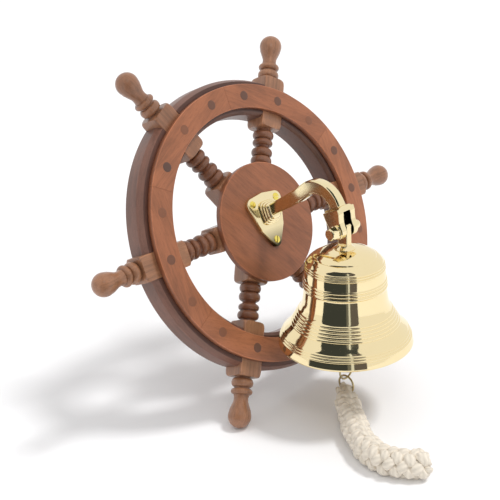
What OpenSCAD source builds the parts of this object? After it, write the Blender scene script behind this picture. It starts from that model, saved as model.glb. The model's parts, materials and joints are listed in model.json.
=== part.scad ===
// Ship bell on a ship's wheel. The wheel stands on its two lower handles and leans back
// on a wall; the bell hangs plumb from a brass bracket on the hub. Millimetres, +Z up,
// the front faces -Y, and the origin is the middle of the hanging hole behind the hub.

/* [Display] */
// How far the wheel leans back from upright, in degrees
lean = 23; // [20:1:26]

/* [Spokes] */
// Side of the square stock that the spokes are turned from
stock = 25; // [24:0.5:26]
// Radius of the wheel over the tips of its handles
tip_r = 203; // [200:0.5:206]
// Radius of the knob at the end of a handle
knob_r = 11.3; // [10:0.1:12]
// Radius of the turned beads
bead_r = 10.7; // [9.5:0.1:11.5]
// Radius of the narrowest part of a handle
neck_r = 7; // [6:0.1:8]

/* [Rim] */
// Outer radius of the felloes
rim_r = 146; // [144:0.5:148]
// Inner radius of the felloes
rim_in_r = 109; // [107:0.5:111]
// Outer radius of the facing ring
face_r = 138.5; // [136:0.5:140]
// Inner radius of the facing ring
face_in_r = 114.5; // [113:0.5:117]
// Thickness of the facing ring
face_t = 6.5; // [5:0.5:8]
// Radius of a dowel plug
plug_r = 4.7; // [4:0.1:5.5]

/* [Hub] */
// Radius of the front hub disc
hub_r = 59.5; // [57:0.5:61]
// Thickness of the front hub disc
hub_t = 7; // [6:0.5:8]
// Radius of the back hub disc
back_r = 29; // [27:0.5:31]
// Thickness of the back hub disc
back_t = 6; // [5.5:0.1:7]

/* [Bracket] */
// Thickness of the bracket plate
plate_t = 4; // [3:0.5:5]
// Half the distance between the two upper screws
screw_x = 16; // [15:0.5:17]
// Width of the arm
arm_w = 10; // [8:0.5:12]
// Width of the fork over both legs
fork_w = 22; // [20:0.5:24]
// Gap between the legs of the fork
fork_gap = 9; // [8:0.5:10]
// Radius of the pivot pin
pin_r = 2.5; // [2:0.1:3]

/* [Bell] */
// Radius of the bell's mouth
mouth_r = 64.5; // [63:0.5:66]
// Depth of the mouth below the pivot
mouth_drop = 115; // [114:0.5:116]
// Height of each raised ring on the bell
ring_h = 0.8; // [0.4:0.1:1.2]
// Radius of the clapper's ball
ball_r = 14; // [11:0.5:16]

/* [Lanyard] */
// Radius of the plaited rope
rope_r = 12; // [11:0.5:12]
// Thickness of the wire of both rings
wire_d = 2; // [1.6:0.1:2.2]

/* [Hidden] */
$fn = 64;

wood = [0.55, 0.32, 0.22];
light_wood = [0.66, 0.40, 0.27];
plug_wood = [0.36, 0.24, 0.18];
brass = [0.83, 0.70, 0.38];
steel = [0.62, 0.63, 0.64];
cotton = [0.90, 0.86, 0.76];

spokes = 6;
step = 360 / spokes;
half = stock / 2;
fit_gap = 0.05;

// Stations along a spoke, from the hub outwards
hub_block_end = 61;
rim_block_in = 100;
rim_block_out = 154;
knob_s = tip_r - knob_r;

// Levels through the wheel, front positive, from the middle plane of the spokes
face_z = half + face_t;
hub_z = half + hub_t;
hanger_t = 2;
back_z = -half - back_t;
seat = half + back_t + hanger_t / 2;
bevel_z = 5;
bevel_r = 3.5;

// Bracket, seen from the side: distance in front of the middle plane, then height
pin_at = [117, -24];
plate_z = hub_z + plate_t;
root_y = 8.5;
bend_at = [94, -2];
bend_r = 23.5;
bend_from = 80;
bend_to = -6;
arm_end = [118, -5];
root_h = 11;
bend_h = 13;
fork_depth = 20;
fork_top = -2.5;
fork_bridge = 5.5;
leg_w = (fork_w - fork_gap) / 2;
leg_end = 7.5;
shoulder = 7;
nut_l = 10;
head_x = 5;
screw_y = [20.5, -19.5];

// Pivot in the row frame
pin_y = -(pin_at[0] + seat) * cos(lean) + pin_at[1] * sin(lean);
pin_z = (pin_at[0] + seat) * sin(lean) + pin_at[1] * cos(lean);

// Drops below the pivot
lug_w = 6.5;
lug_top = 5.5;
crown_z = -19;
crown_t = 4;
stud_r = 4;
nut_h = 6;
stud_end = -31;
eye_z = -40;
eye_hole_r = 2.4;
eye_w = 3;
eye_ring_r = 5;
rod_r = 2.2;
ball_z = -95;
tail_end = -138;
loop_r = 9;
loop_z = tail_end - 2 * loop_r;

// Rope: the middle line, from the ring to the cut end, lying on the table
rope_route = [[0, -133, -136], [-3, -136.5, -138.5], [-8, -142, -141], [-15, -149.5, -143],
    [-23, -159, -144.2], [-31, -169, -144.5], [-39, -179.5, -144.5],
    [-46.5, -189.5, -144.5], [-53, -199.5, -144.5], [-58.5, -209.5, -144.5],
    [-62, -219.5, -144.5], [-63.5, -229, -144.5], [-62.8, -238.5, -144.5],
    [-60, -247, -144.5], [-55.5, -254.5, -144.5], [-49.5, -261, -144.5],
    [-42.5, -266, -144.5]];
rope_sides = 12;

function arc(c, r, a0, a1, n) =
    [for (i = [0:n]) let (a = a0 + (a1 - a0) * i / n) [c[0] + r * cos(a), c[1] + r * sin(a)]];

// A round bead on a turned profile: core radius, bead radius, middle and half width
function bead(core, r, s, w) =
    [for (i = [0:8]) let (a = 180 * i / 8) [core + (r - core) * sin(a), s - w * cos(a)]];

// Raised rings between two points of an outline
function rings(p, q, n) = [for (i = [0:n - 1], k = [0:2])
    let (t = (i + 0.12 + 0.38 * k) / n, d = k == 1 ? ring_h : 0)
    [p[0] + (q[0] - p[0]) * t + d, p[1] + (q[1] - p[1]) * t]];

// A band of given thickness at each end along a middle line
function unit(v) = v / norm(v);
function heading(line, i) =
    unit(line[min(i + 1, len(line) - 1)] - line[max(i - 1, 0)]);
function side(line, i, h) = let (t = heading(line, i)) line[i] + h / 2 * [t[1], -t[0]];
function band(line, h0, h1) = let (n = len(line) - 1) concat(
    [for (i = [0:n]) side(line, i, h0 + (h1 - h0) * i / n)],
    [for (i = [n:-1:0]) side(line, i, -h0 - (h1 - h0) * i / n)]);

// Wheel frame: X right, Y up the wheel, Z out of its face
module in_wheel() {
    rotate([-lean, 0, 0]) translate([0, -seat, 0]) rotate([90, 0, 0]) children();
}

// Pivot frame: X along the pin, Z up
module at_pin() {
    translate([0, pin_y, pin_z]) children();
}

// A turned solid about the wheel frame's Y axis
module turned(outline) {
    rotate([-90, 0, 0]) rotate_extrude() polygon(outline);
}

// A plate standing in the plane of the arm
module side_plate(w) {
    rotate([0, -90, 0]) linear_extrude(w, center = true) children();
}

module torus(r, wire) {
    rotate_extrude() translate([r, 0]) circle(wire / 2, $fn = 24);
}

// Square stock between two stations, with its ends turned round
module block(s0, s1, turn0, turn1) {
    corner = half * sqrt(2) + 0.5;
    intersection() {
        translate([-half, s0, -half]) cube([stock, s1 - s0, stock]);
        turned([[0, s0], [turn0 ? 11.5 : corner, s0], [turn0 ? 15 : corner, s0 + 2],
            [corner, s0 + 7], [corner, s1 - 7], [turn1 ? 15 : corner, s1 - 2],
            [turn1 ? 11.5 : corner, s1], [0, s1]]);
    }
}

module spoke(i) {
    root = half / tan(step / 2);
    core = neck_r + 0.5;
    color(wood) in_wheel() rotate([0, 0, step / 2 - step * i]) {
        intersection() {
            block(0, hub_block_end, false, true);
            translate([0, 0, -half]) linear_extrude(stock)
                polygon([[0, 0], [half, root], [half, hub_block_end], [-half, hub_block_end],
                    [-half, root]]);
        }
        block(rim_block_in, rim_block_out, true, true);
        turned(concat([[0, hub_block_end - 1], [core, hub_block_end - 1]],
            bead(core, bead_r, 66, 4.5), bead(core, bead_r, 74.8, 4.3),
            [[neck_r - 0.5, 80.5]], bead(core, bead_r - 0.4, 85.3, 3.2),
            bead(core, bead_r, 93.4, 4.2), [[core, rim_block_in + 1], [0, rim_block_in + 1]]));
        turned(concat([[0, rim_block_out - 1], [core, rim_block_out - 1]],
            bead(core, bead_r, 159.5, 4.3), bead(core, bead_r - 0.2, 168, 3),
            [[neck_r + 0.2, 173], [neck_r, 176], [neck_r + 0.7, 179.5],
                [knob_r - 1.6, 184.5]],
            arc([0, knob_s], knob_r, -20, 90, 12)));
    }
}

module felloe(i) {
    color(wood) in_wheel() rotate([0, 0, -step * (i - 1)]) difference() {
        rotate([0, 0, 90 - step / 2]) rotate_extrude(angle = step, $fn = 180)
            polygon([[rim_in_r, -half], [rim_r, -half], [rim_r, bevel_z], [rim_r - bevel_r, half],
                [rim_in_r + bevel_r, half], [rim_in_r, half - bevel_r]]);
        for (a = [-step / 2, step / 2]) rotate([0, 0, a])
            translate([-half, 0, -stock]) cube([stock, 2 * rim_r, 2 * stock]);
    }
}

module face_segment(i) {
    color(light_wood) in_wheel() rotate([0, 0, step / 2 - step * i]) difference() {
        rotate([0, 0, 90 - step / 2]) rotate_extrude(angle = step, $fn = 180)
            polygon([[face_in_r, half], [face_r, half], [face_r, face_z - 0.8],
                [face_r - 0.8, face_z], [face_in_r + 0.8, face_z], [face_in_r, face_z - 0.8]]);
        for (p = plug_places()) translate([p[0], p[1], half - 1])
            cylinder(h = face_t + 2, r = plug_r + fit_gap);
    }
}

// Three plugs to a segment, the middle one over the spoke
function plug_places() = [for (k = [-1:1])
    let (a = 90 + k * step / 3, r = (face_r + face_in_r) / 2) [r * cos(a), r * sin(a)]];

module rim_plugs() {
    color(plug_wood) in_wheel() for (i = [1:spokes]) rotate([0, 0, step / 2 - step * i])
        for (p = plug_places()) translate([p[0], p[1], half])
            cylinder(h = face_t, r = plug_r);
}

module hub_front_disc() {
    color(wood) in_wheel() difference() {
        rotate_extrude($fn = 180) polygon([[0, half], [hub_r, half], [hub_r, hub_z - 1],
            [hub_r - 1, hub_z], [0, hub_z]]);
        for (p = screw_places()) translate([p[0], p[1], half + 0.5])
            cylinder(h = hub_t, r = 1.7 + fit_gap);
    }
}

// The back disc has a pocket and a slot behind the keyhole for the screw on the wall
module hub_back_disc() {
    color(wood) in_wheel() difference() {
        rotate_extrude() polygon([[0, back_z], [back_r - 1, back_z], [back_r, back_z + 1],
            [back_r, -half], [0, -half]]);
        translate([0, 0, back_z - 1]) cylinder(h = 5.5, r = 6);
        translate([-5, 0, back_z - 1]) cube([10, 9, 5.5]);
        for (x = [-17, 17]) translate([x, 0, back_z - 1]) cylinder(h = 6, r = 1.3 + fit_gap);
    }
}

module hanger_plate() {
    color(steel) in_wheel() translate([0, 0, back_z - hanger_t]) difference() {
        union() {
            translate([-17, -9, 0]) cube([34, 22, hanger_t]);
            for (x = [-17, 17]) translate([x, 0, 0]) cylinder(h = hanger_t, r = 6);
        }
        translate([0, 0, -1]) cylinder(h = hanger_t + 2, r = 4.5);
        translate([-2.25, 0, -1]) cube([4.5, 8, hanger_t + 2]);
        translate([0, 8, -1]) cylinder(h = hanger_t + 2, r = 2.25);
        for (x = [-17, 17]) translate([x, 0, 0]) countersink(2.9, 1.3, hanger_t, -1);
    }
}

// A countersunk hole through a plate that lies on z = 0, its wide end towards the given side
module countersink(head, shank, t, towards) {
    translate([0, 0, -1]) cylinder(h = t + 2, r = shank + fit_gap);
    if (towards > 0) translate([0, 0, t - 1.6])
        cylinder(h = 1.61, r1 = shank + fit_gap, r2 = head + fit_gap);
    else translate([0, 0, -0.01])
        cylinder(h = 1.61, r1 = head + fit_gap, r2 = shank + fit_gap);
}

// A slotted countersunk wood screw: its head ends at z = 0 and its point is below
module wood_screw(head, shank, length) {
    difference() {
        union() {
            translate([0, 0, -1.6]) cylinder(h = 1.6, r1 = shank, r2 = head);
            translate([0, 0, -length + 2]) cylinder(h = length - 3.5, r = shank);
            translate([0, 0, -length]) cylinder(h = 2, r1 = 0.4, r2 = shank);
        }
        translate([-head - 1, -0.5, -0.8]) cube([2 * head + 2, 1, 1]);
    }
}

module hanger_screws() {
    color(steel) in_wheel() for (x = [-17, 17])
        translate([x, 0, back_z - hanger_t]) rotate([180, 0, 30]) wood_screw(2.9, 1.3, 6.5);
}

function screw_places() = [[-screw_x, screw_y[0]], [screw_x, screw_y[0]], [0, screw_y[1]]];

module bracket_screws() {
    turns = [50, -20, 65];
    color(brass) in_wheel() for (i = [0:2])
        translate([screw_places()[i][0], screw_places()[i][1], plate_z])
            rotate([0, 0, turns[i]]) wood_screw(3.7, 1.7, 9.5);
}

// Which way the outer tangent of two round corners faces
function tangent_turn(a, b) = let (d = [b[0] - a[0], b[1] - a[1]])
    atan2(d[1], d[0]) - acos((a[2] - b[2]) / norm(d));

// Seen from the front: round corners joined by their outer tangents
module plate_outline() {
    corners = [[-15.5, 19.5, 7.5], [-8, -4, 8], [0, -20.5, 6], [8, -4, 8], [15.5, 19.5, 7.5],
        [0, 21.5, 7.5]];
    count = len(corners);
    turns = [for (i = [0:count - 1]) tangent_turn(corners[i], corners[(i + 1) % count])];
    polygon([for (i = [0:count - 1])
        let (from = turns[(i + count - 1) % count], sweep = (turns[i] - from + 720) % 360)
        each arc(corners[i], corners[i][2], from, from + sweep, 8)]);
}

function arm_line() = concat([[plate_z - 1, root_y], [60, root_y + 6]],
    arc(bend_at, bend_r, bend_from + 20, bend_to, 12), [arm_end]);

// A rectangle of given half sizes with round corners
module soft_block(w, h, r) {
    square([2 * w, 2 * (h - r)], center = true);
    square([2 * (w - r), 2 * h], center = true);
    for (x = [r - w, w - r], y = [r - h, h - r]) translate([x, y]) circle(r);
}

// A leg of the fork, seen from the side
module leg_side() {
    polygon([[pin_at[0] - fork_depth / 2, fork_top - 1], [pin_at[0] + fork_depth / 2, fork_top - 1],
        [pin_at[0] + leg_end, pin_at[1]], [pin_at[0] - leg_end, pin_at[1]]]);
    translate(pin_at) circle(leg_end);
}

// The fork, seen from the front, with round shoulders
module fork_front() {
    low = pin_at[1] - fork_depth;
    translate([0, low, pin_at[0] - fork_depth]) linear_extrude(2 * fork_depth) {
        translate([-fork_w / 2, 0]) square([fork_w, fork_top - shoulder - low]);
        translate([shoulder - fork_w / 2, 0]) square([fork_w - 2 * shoulder, fork_top - low]);
        for (x = [shoulder - fork_w / 2, fork_w / 2 - shoulder])
            translate([x, fork_top - shoulder - low]) circle(shoulder);
    }
}

module wall_bracket() {
    leg_x = fork_gap / 2 + leg_w / 2;
    color(brass) in_wheel() difference() {
        union() {
            translate([0, 0, hub_z]) linear_extrude(plate_t) plate_outline();
            translate([0, root_y, plate_z - 1]) for (i = [0:3])
                linear_extrude(3.5 + 2.5 * i) soft_block(10.5 - 1.5 * i, 12 - 1.5 * i, 4.5);
            side_plate(arm_w) polygon(band(arm_line(), root_h, bend_h));
            intersection() {
                union() {
                    side_plate(fork_w)
                        translate([pin_at[0] - fork_depth / 2, fork_top - fork_bridge])
                            square([fork_depth, fork_bridge]);
                    for (x = [-leg_x, leg_x]) translate([x, 0, 0]) side_plate(leg_w) leg_side();
                }
                fork_front();
            }
        }
        translate([0, pin_at[1], pin_at[0]]) rotate([0, 90, 0])
            cylinder(h = fork_w + 2, r = pin_r + fit_gap, center = true);
        for (p = screw_places()) translate([p[0], p[1], hub_z])
            countersink(3.7, 1.7, plate_t, 1);
    }
}

module pivot_pin() {
    color(brass) at_pin() {
        translate([1 - nut_l - fork_w / 2, 0, 0]) rotate([0, 90, 0])
            cylinder(h = nut_l - 1 + fork_w, r = pin_r);
        translate([fork_w / 2 + head_x, 0, 0]) rotate([0, 90, 0]) {
            translate([0, 0, -head_x]) cylinder(h = head_x, r = 3.6);
            sphere(4.3);
        }
    }
}

module pin_nut() {
    color(brass) at_pin() difference() {
        translate([-fork_w / 2 - nut_l, 0, 0]) rotate([0, 90, 0]) union() {
            cylinder(h = nut_l, r = 6.2, $fn = 6);
            translate([0, 0, nut_l - 1.5]) cylinder(h = 1.5, r = 6.4);
        }
        translate([1 - nut_l - fork_w / 2, 0, 0]) rotate([0, 90, 0])
            cylinder(h = nut_l, r = pin_r + fit_gap);
    }
}

// The lug turns on the pin, stands on the crown and is held by its stud
module bell_lug() {
    color(brass) at_pin() difference() {
        union() {
            translate([-lug_w / 2, -5.7, crown_z + 1]) cube([lug_w, 11.4, lug_top - crown_z - 1]);
            translate([0, 0, crown_z]) cylinder(h = 4, r1 = 10, r2 = 6);
            translate([0, 0, stud_end]) cylinder(h = crown_z - stud_end + 1, r = stud_r);
        }
        rotate([0, 90, 0]) cylinder(h = 2 * lug_w, r = pin_r + 0.08, center = true);
    }
}

function bell_outside() = let (k = mouth_r / 64.5, m = -mouth_drop) concat(
    [[stud_r + fit_gap, crown_z], [11, crown_z], [17.5, -20.2], [24, -22.2], [29.5, -25],
        [32, -26.6], [34.5, -29], [36.3, -31.5]],
    rings([36.6, -31.8], [37.6, -39], 3), [[38.4, -46]],
    rings([38.6, -47], [39.4, -57], 3), [[39.9, -64], [41, -71.5], [42.8, -76.5]],
    rings([43.6, -78.5], [52, -93], 5), [[57.4, -98.8]],
    rings([k * 59.5, -101], [k * 63, -107.5], 3),
    [[k * 64.2, m + 4], [mouth_r, m + 1.5], [k * 64, m]]);

module bell() {
    inside = [[mouth_r - 3, -mouth_drop], [60, -110], [56, -103], [48.6, -93], [41.6, -82],
        [38.3, -74], [36.5, -66], [35.6, -48], [33.6, -38], [30, -31.5], [24, -26.5],
        [16, -23.6], [9, crown_z - crown_t], [stud_r + fit_gap, crown_z - crown_t]];
    color(brass) at_pin() rotate_extrude($fn = 96) polygon(concat(bell_outside(), inside));
}

module crown_nut() {
    color(brass) at_pin() translate([0, 0, crown_z - crown_t - nut_h]) difference() {
        cylinder(h = nut_h, r = 7.5, $fn = 6);
        translate([0, 0, -1]) cylinder(h = nut_h + 2, r = stud_r + fit_gap);
    }
}

module clapper_eye() {
    color(brass) at_pin() difference() {
        union() {
            translate([0, 0, stud_end - 3]) cylinder(h = 3, r = 4.5);
            translate([-eye_w / 2, -4, eye_z]) cube([eye_w, 8, stud_end - 2 - eye_z]);
            translate([0, 0, eye_z]) rotate([0, 90, 0])
                cylinder(h = eye_w, r = 4.8, center = true);
        }
        translate([0, 0, eye_z]) rotate([0, 90, 0])
            cylinder(h = 3 * eye_w, r = eye_hole_r, center = true);
    }
}

module clapper_rod() {
    color(brass) at_pin() {
        translate([0, 0, eye_z - eye_ring_r]) rotate([90, 0, 0]) torus(eye_ring_r, 2.8);
        translate([0, 0, tail_end + 2]) cylinder(h = eye_z - 2 * eye_ring_r - tail_end - 2,
            r = rod_r);
        difference() {
            translate([0, 0, tail_end]) sphere(3.2);
            translate([0, 0, tail_end - loop_r]) rotate([90, 0, 0])
                torus(loop_r, wire_d + 0.3);
        }
    }
}

module clapper_ball() {
    color(brass) at_pin() translate([0, 0, ball_z]) difference() {
        union() {
            sphere(ball_r);
            translate([0, 0, ball_r - 1]) cylinder(h = 4, r1 = 5, r2 = 3.5);
            translate([0, 0, -ball_r - 3]) cylinder(h = 4, r1 = 3.5, r2 = 5);
        }
        translate([0, 0, -2 * ball_r]) cylinder(h = 4 * ball_r, r = rod_r + 0.02);
    }
}

// Wire ring at the clapper's foot, in the plane of the pin
module clapper_ring() {
    color(brass) at_pin() translate([0, 0, loop_z + loop_r]) rotate([90, 0, 0])
        torus(loop_r, wire_d);
}

// Wire ring that hangs across it and goes through the head of the rope
module lanyard_ring() {
    color(brass) at_pin() translate([0, 0, loop_z + wire_d + 0.3 - loop_r])
        rotate([0, 90, 0]) torus(loop_r, wire_d);
}

// The rope lies on the table: a tube swept along its route
module lanyard() {
    n = len(rope_route);
    up = [0, 0, 1];
    radius = [for (i = [0:n - 1]) i == 0 ? 0.72 * rope_r : i == 1 ? 0.92 * rope_r : rope_r];
    points = [for (i = [0:n - 1]) let (t = heading(rope_route, i), x = unit(cross(t, up)),
        y = cross(x, t)) for (k = [0:rope_sides - 1]) let (a = 360 * k / rope_sides)
        rope_route[i] + radius[i] * (cos(a) * x + sin(a) * y)];
    walls = [for (i = [0:n - 2], k = [0:rope_sides - 1]) let (j = (k + 1) % rope_sides)
        [i * rope_sides + k, i * rope_sides + j, (i + 1) * rope_sides + j,
            (i + 1) * rope_sides + k]];
    color(cotton) polyhedron(points, concat(
        [[for (k = [rope_sides - 1:-1:0]) k]], walls,
        [[for (k = [0:rope_sides - 1]) (n - 1) * rope_sides + k]]));
}

for (i = [1:spokes]) {
    spoke(i);
    felloe(i);
    face_segment(i);
}
hub_front_disc();
hub_back_disc();
rim_plugs();
hanger_plate();
hanger_screws();
wall_bracket();
bracket_screws();
pivot_pin();
pin_nut();
bell_lug();
bell();
crown_nut();
clapper_eye();
clapper_rod();
clapper_ball();
clapper_ring();
lanyard_ring();
lanyard();
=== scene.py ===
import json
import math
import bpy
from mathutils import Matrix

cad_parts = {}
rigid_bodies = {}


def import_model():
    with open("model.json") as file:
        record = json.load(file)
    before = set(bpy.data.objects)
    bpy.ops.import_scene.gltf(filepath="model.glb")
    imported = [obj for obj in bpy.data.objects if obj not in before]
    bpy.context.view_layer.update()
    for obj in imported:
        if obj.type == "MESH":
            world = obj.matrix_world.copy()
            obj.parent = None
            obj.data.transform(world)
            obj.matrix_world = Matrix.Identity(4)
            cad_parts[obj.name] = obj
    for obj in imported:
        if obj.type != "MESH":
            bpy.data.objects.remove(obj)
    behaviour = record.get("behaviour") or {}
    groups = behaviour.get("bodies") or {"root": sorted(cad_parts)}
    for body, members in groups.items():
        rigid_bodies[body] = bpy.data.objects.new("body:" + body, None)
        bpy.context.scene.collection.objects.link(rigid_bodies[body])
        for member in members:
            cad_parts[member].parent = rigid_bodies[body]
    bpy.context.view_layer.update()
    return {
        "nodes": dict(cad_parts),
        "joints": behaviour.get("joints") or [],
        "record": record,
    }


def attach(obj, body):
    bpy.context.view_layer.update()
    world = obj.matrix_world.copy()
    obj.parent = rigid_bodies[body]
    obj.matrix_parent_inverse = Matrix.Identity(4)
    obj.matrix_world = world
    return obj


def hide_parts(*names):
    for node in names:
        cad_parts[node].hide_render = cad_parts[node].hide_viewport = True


bl_info = {
    "name": "Ship bell on a wheel",
    "version": (1, 0, 0),
    "blender": (4, 5, 0),
    "location": "3D View > Sidebar > Ship bell",
    "description": "Builds the looks of a brass ship bell, its wooden wheel and its plaited rope",
    "category": "Object",
}

import bmesh
import bpy
import numpy as np
from bpy.props import (
    FloatProperty,
    FloatVectorProperty,
    IntProperty,
    PointerProperty,
)
from mathutils import Matrix, Vector

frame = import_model()

MM = 0.001
WHEEL, BELL, CLAPPER, ROPE = "wheel", "bell_body", "clapper", "bell_rope"
SPOKES = 6

# The wheel leans back about X; its hanging hole is the origin
HOLE_AXIS = Vector(frame["record"]["mounts"][0]["axis"])
LEAN = math.asin(-HOLE_AXIS.z)
SEAT = 19.5 * MM
HALF_STOCK = 12.5 * MM
# Wheel frame (X right, Y up the wheel, Z out of its face) to the row frame
TO_ROW = (
    Matrix.Rotation(-LEAN, 4, "X")
    @ Matrix.Translation((0, -SEAT, 0))
    @ Matrix.Rotation(math.pi / 2, 4, "X")
)
PIN = Vector(frame["joints"][0]["pos_m"])
AT_PIN = Matrix.Translation(PIN)
TABLE = -156.5 * MM
PLATE_THICKNESS = 4 * MM
# Heights below the pin, in the bell's own frame
EYE_HEIGHT, TAIL_END = -40 * MM, -138 * MM
FOOT_RING = 9 * MM


def srgb(r, g, b):
    """A colour given in screen values, as Blender's linear values."""
    return tuple(
        (v / 255 / 12.92 if v < 11 else ((v / 255 + 0.055) / 1.055) ** 2.4)
        for v in (r, g, b)
    )


# ---------------------------------------------------------------- properties


def length(name, description, default):
    return FloatProperty(name=name, description=description, default=default, unit="LENGTH")


def tint(name, description, default):
    return FloatVectorProperty(
        name=name, description=description, subtype="COLOR", default=default)


class WheelProps(bpy.types.PropertyGroup):
    tip_radius: length("Tip radius", "Radius over the handles", 203 * MM)
    knob_radius: length("Knob radius", "Radius of a handle's knob", 11.3 * MM)
    bead_radius: length("Bead radius", "Radius of the turned beads", 10.7 * MM)
    neck_radius: length("Neck radius", "Radius of a handle's narrowest part", 7 * MM)
    rim_outer: length("Rim outer radius", "Outer radius of the felloes", 146 * MM)
    rim_inner: length("Rim inner radius", "Inner radius of the felloes", 109 * MM)
    face_outer: length("Face outer radius", "Outer radius of the facing ring", 138.5 * MM)
    face_inner: length("Face inner radius", "Inner radius of the facing ring", 114.5 * MM)
    face_thickness: length("Face thickness", "Thickness of the facing ring", 6.5 * MM)
    hub_radius: length("Hub radius", "Radius of the front hub disc", 59.5 * MM)
    hub_thickness: length("Hub thickness", "Thickness of the front hub disc", 7 * MM)
    plug_radius: length("Plug radius", "Radius of a dowel plug", 4.7 * MM)
    plugs: IntProperty(
        name="Plugs", description="Dowel plugs round the rim", default=18, min=6)
    face_color: tint("Face wood", "Middle colour of the facing wood", srgb(146, 90, 60))
    rim_color: tint("Rim wood", "Middle colour of the rim's wood", srgb(104, 70, 57))
    turned_color: tint("Turned wood", "Middle colour of the spokes", srgb(144, 100, 72))
    plug_color: tint("Plug wood", "Middle colour of the plugs", srgb(84, 58, 48))


class BellProps(bpy.types.PropertyGroup):
    mouth_radius: length("Mouth radius", "Radius of the bell's mouth", 64.5 * MM)
    ring_height: length("Ring height", "Height of each raised ring", 0.8 * MM)
    ball_radius: length("Ball radius", "Radius of the clapper's ball", 14 * MM)
    brass_color: tint("Brass", "Colour of the polished brass", srgb(244, 226, 180))
    cast_color: tint("Cast brass", "Colour of the bracket's brass", srgb(244, 228, 184))
    screw_color: tint("Screw brass", "Colour of the yellower small parts", srgb(240, 220, 112))


class RopeProps(bpy.types.PropertyGroup):
    radius: length("Rope radius", "Radius over the plait", 12 * MM)
    strands: IntProperty(
        name="Strands", description="Strands of the plait", default=8, min=4)
    wire: length("Ring wire", "Thickness of the wire of both rings", 2 * MM)
    cotton_color: tint("Cotton", "Colour of the cotton", srgb(240, 230, 214))


class StageProps(bpy.types.PropertyGroup):
    floor_size: length("Floor size", "Side of the floor", 12.0)
    floor_color: tint("Floor", "Colour of the floor", (0.92, 0.92, 0.93))


# ------------------------------------------------------------- shader helpers


class Value:
    """A number socket that takes part in Python arithmetic."""

    def __init__(self, maker, socket):
        self.maker, self.socket = maker, socket

    def _math(self, operation, first, second):
        return Value(self.maker, self.maker.node(
            "ShaderNodeMath", {"operation": operation}, {0: first, 1: second}).outputs[0])

    def __add__(self, other):
        return self._math("ADD", self, other)

    def __radd__(self, other):
        return self._math("ADD", other, self)

    def __sub__(self, other):
        return self._math("SUBTRACT", self, other)

    def __rsub__(self, other):
        return self._math("SUBTRACT", other, self)

    def __mul__(self, other):
        return self._math("MULTIPLY", self, other)

    def __rmul__(self, other):
        return self._math("MULTIPLY", other, self)

    def above(self, other):
        return self._math("GREATER_THAN", self, other)

    def fraction(self):
        return self._math("FRACT", self, 0.0)

    def size(self):
        return self._math("ABSOLUTE", self, 0.0)


class Maker:
    """Adds nodes to one material."""

    def __init__(self, name, color):
        self.material = bpy.data.materials.new(name)
        self.material.use_nodes = True
        self.material.diffuse_color = (*color, 1)
        self.tree = self.material.node_tree
        self.shader = self.tree.nodes["Principled BSDF"]

    def node(self, kind, settings=None, inputs=None):
        made = self.tree.nodes.new(kind)
        for key, setting in (settings or {}).items():
            if key == "stops":
                ramp = made.color_ramp.elements
                while len(ramp) < len(setting):
                    ramp.new(0.5)
                for stop, (place, color) in zip(ramp, setting):
                    stop.position = place
                    stop.color = (*color, 1) if len(color) == 3 else color
            else:
                setattr(made, key, setting)
        for key, value in (inputs or {}).items():
            self.feed(made.inputs[key], value)
        return made

    def feed(self, socket, value):
        if isinstance(value, Value):
            value = value.socket
        if isinstance(value, bpy.types.NodeSocket):
            self.tree.links.new(value, socket)
        else:
            socket.default_value = value

    def value(self, socket):
        return Value(self, socket)

    def place(self, attribute=None):
        if attribute:
            return self.node("ShaderNodeAttribute",
                             {"attribute_name": attribute}).outputs["Vector"]
        return self.node("ShaderNodeTexCoord").outputs["Object"]

    def number(self, attribute):
        return self.value(self.node("ShaderNodeAttribute",
                                    {"attribute_name": attribute}).outputs["Fac"])

    def mapped(self, vector, scale=(1, 1, 1), turn=(0, 0, 0), shift=(0, 0, 0)):
        return self.node("ShaderNodeMapping", {}, {
            "Vector": vector, "Scale": scale, "Rotation": turn,
            "Location": shift}).outputs["Vector"]

    def noise(self, vector, scale, detail=4.0, rough=0.55, distortion=0.0):
        return self.value(self.node("ShaderNodeTexNoise", {}, {
            "Vector": vector, "Scale": scale, "Detail": detail, "Roughness": rough,
            "Distortion": distortion}).outputs["Fac"])

    def ramp(self, value, stops):
        return self.node("ShaderNodeValToRGB", {"stops": stops},
                         {"Fac": value}).outputs["Color"]

    def mix(self, amount, first, second, how="MIX"):
        made = self.node("ShaderNodeMix", {"data_type": "RGBA", "blend_type": how})
        for socket, value in zip((made.inputs["Factor"], made.inputs[6], made.inputs[7]),
                                 (amount, first, second)):
            if isinstance(value, tuple) and len(value) == 3:
                value = (*value, 1)
            self.feed(socket, value)
        return made.outputs[2]

    def surface(self, **inputs):
        for name, value in inputs.items():
            if isinstance(value, tuple) and len(value) == 3:
                value = (*value, 1)
            self.feed(self.shader.inputs[name.replace("_", " ")], value)

    def bump(self, height, distance, strength=1.0):
        self.feed(self.shader.inputs["Normal"], self.node("ShaderNodeBump", {}, {
            "Height": height, "Distance": distance, "Strength": strength}).outputs["Normal"])


def shade(color, factor):
    return tuple(min(1.0, channel * factor) for channel in color)


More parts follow.
